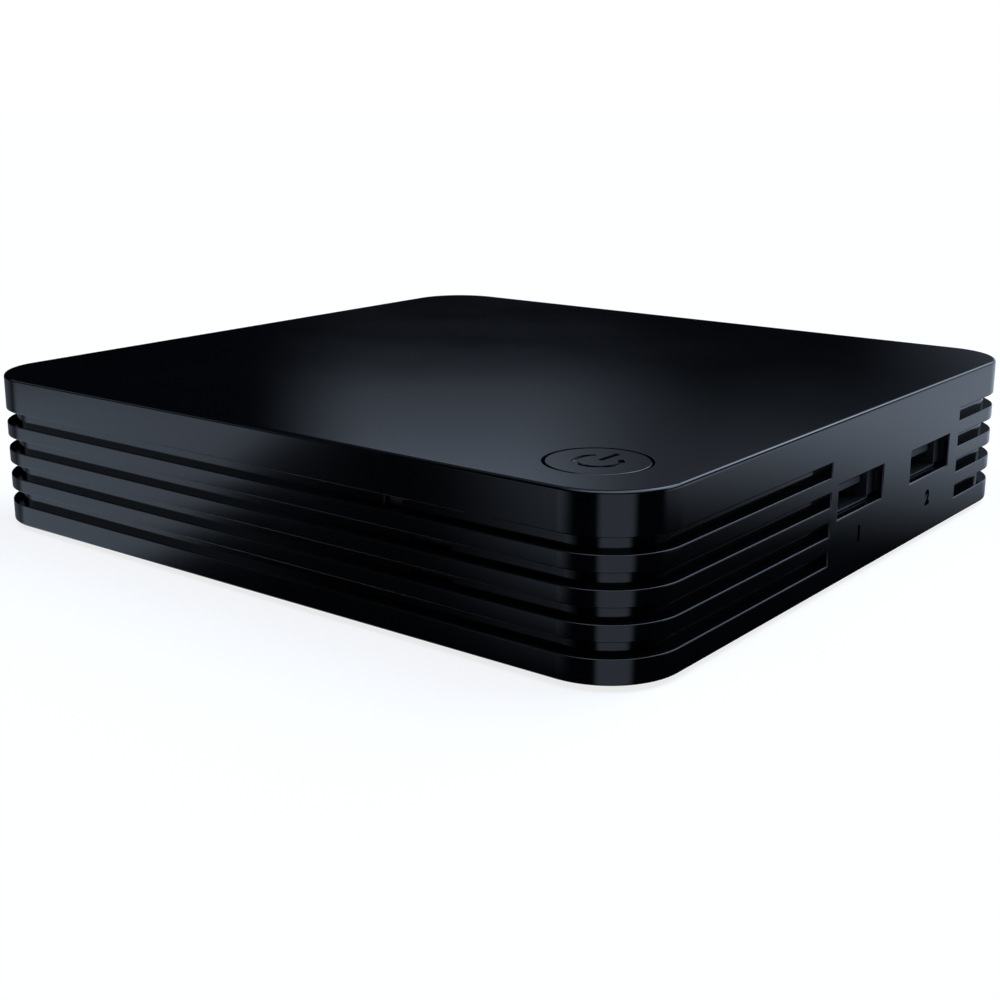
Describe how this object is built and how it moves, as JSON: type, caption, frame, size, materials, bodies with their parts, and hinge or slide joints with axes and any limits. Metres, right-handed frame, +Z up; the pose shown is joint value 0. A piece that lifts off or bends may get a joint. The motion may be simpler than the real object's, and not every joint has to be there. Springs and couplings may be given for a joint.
{
  "type": "streaming media player",
  "caption": "Flat black box with rounded corners and grooved sides, USB sockets on the side, a round power button on top and video, network and power sockets at the back.",
  "frame": {"origin": "midway between the four feet, on the surface that they stand on", "axes": "+Z up, +X to the right side that carries the USB sockets, +Y to the back"},
  "size_m": [0.146, 0.14, 0.029],
  "materials": {
    "body_plastic": "black moulded plastic, satin",
    "button_plastic": "black moulded plastic, satin",
    "foot_rubber": "soft black rubber",
    "screw_steel": "zinc-plated steel",
    "board_green": "green solder mask over glass fibre",
    "wifi_board_blue": "blue solder mask over glass fibre",
    "socket_steel": "nickel-plated pressed steel",
    "socket_plastic": "dark glass-filled plastic",
    "contact_gold": "gold-plated spring contacts",
    "jack_green": "green moulded plastic",
    "window_plastic": "dark plastic that passes infrared light",
    "light_guide_smoke": "smoke-tinted acrylic",
    "chip_black": "black epoxy package",
    "pad_grey": "soft grey thermal pad",
    "sink_aluminium": "black anodised aluminium",
    "capacitor_blue": "printed sleeve on an aluminium can",
    "coil_grey": "grey ferrite",
    "small_chip_tan": "ceramic"
  },
  "bodies": {
    "player": {"housing": "body_plastic", "bottom_cover": "body_plastic", "rubber_feet": "foot_rubber", "case_screws": "screw_steel", "main_board": "board_green", "board_screws": "screw_steel", "switch_body": "socket_steel", "usb_port_1_shell": "socket_steel", "usb_port_2_shell": "socket_steel", "usb_port_1_insulator": "socket_plastic", "usb_port_2_insulator": "socket_plastic", "usb_contacts": "contact_gold", "hdmi_shell": "socket_steel", "hdmi_insulator": "socket_plastic", "network_jack": "socket_steel", "network_contacts": "contact_gold", "power_inlet": "socket_plastic", "power_inlet_pin": "socket_steel", "av_jack": "jack_green", "ir_window": "window_plastic", "ir_receiver": "window_plastic", "light_guide": "light_guide_smoke", "status_led": "light_guide_smoke", "main_processor": "chip_black", "thermal_pad": "pad_grey", "heat_sink": "sink_aluminium", "memory_chips": "chip_black", "flash_chip": "chip_black", "wifi_module": "wifi_board_blue", "wifi_shield": "socket_steel", "power_capacitors": "capacitor_blue", "power_coils": "coil_grey", "regulators": "chip_black", "usb_power_switches": "chip_black", "network_transformer": "chip_black", "clock_crystal": "socket_steel", "small_chips": "small_chip_tan"},
    "power_button": {"power_button": "button_plastic", "switch_plunger": "socket_plastic"}
  },
  "joints": [
    {"name": "power_button_press", "type": "slide", "parent": "player", "child": "power_button", "axis": [0, 0, -1], "range_m": [0, 0.0004], "stiffness_N_per_m": 4000, "springref_m": -0.0001}
  ]
}
